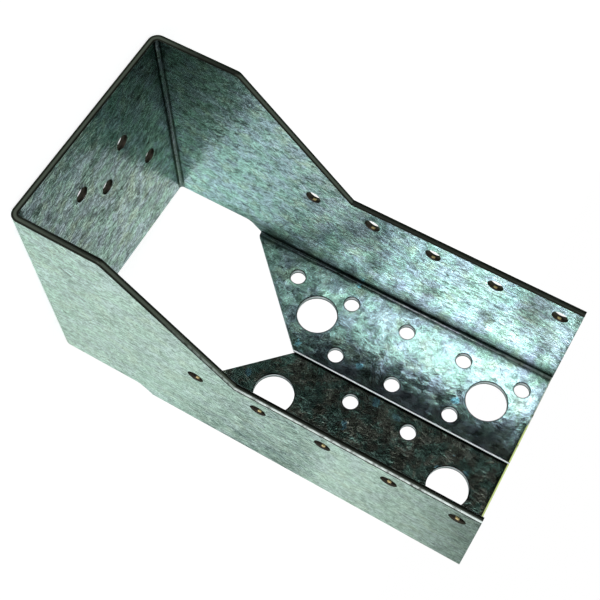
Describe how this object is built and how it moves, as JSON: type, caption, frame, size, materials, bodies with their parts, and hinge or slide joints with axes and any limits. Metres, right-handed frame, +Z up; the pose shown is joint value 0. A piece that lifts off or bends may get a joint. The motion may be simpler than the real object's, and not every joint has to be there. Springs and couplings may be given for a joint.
{
  "type": "joist hanger",
  "caption": "Folded steel hanger that carries the end of a timber joist: seat, two tapering side plates and two inward-turned flanges with bolt and nail holes.",
  "frame": {"origin": "middle of the overall box at its base, so under the seat and halfway between the back of the flanges and the front edge of the seat", "axes": "+X across the hanger to the right, seen from the joist's side and looking at the header; +Y forward, away from the header, along the joist; +Z up, from the seat to the free ends"},
  "size_m": [0.0684, 0.0834, 0.1385],
  "materials": {
    "galvanised_steel": "hot-dip galvanised, semi-matt with a fine spangle and bare cut edges"
  },
  "bodies": {
    "root": {"joist_hanger": "galvanised_steel"}
  },
  "joints": []
}
